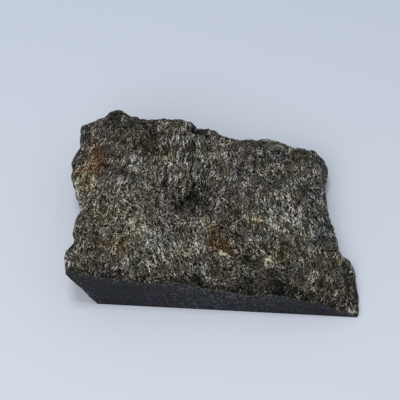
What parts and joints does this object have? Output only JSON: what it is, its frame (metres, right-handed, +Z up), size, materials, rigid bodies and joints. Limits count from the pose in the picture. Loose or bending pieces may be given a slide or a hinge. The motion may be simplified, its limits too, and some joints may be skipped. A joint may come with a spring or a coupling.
{
  "type": "nuummite slab",
  "caption": "Broken hand specimen of dark, splintery amphibole rock: rough glittering top, sawn flat base and front, thick at one end and thinning to the other.",
  "frame": {"origin": "on the sawn base, under the middle of the slab's plan", "axes": "+X along the sawn front, from the thick end to the thin tip; +Y from the sawn front to the broken back; +Z up from the sawn base"},
  "size_m": [0.104, 0.0692, 0.024],
  "materials": {
    "stone": "rough and glittering where broken, satin where sawn"
  },
  "bodies": {
    "root": {"nuummite_slab": "stone"}
  },
  "joints": []
}
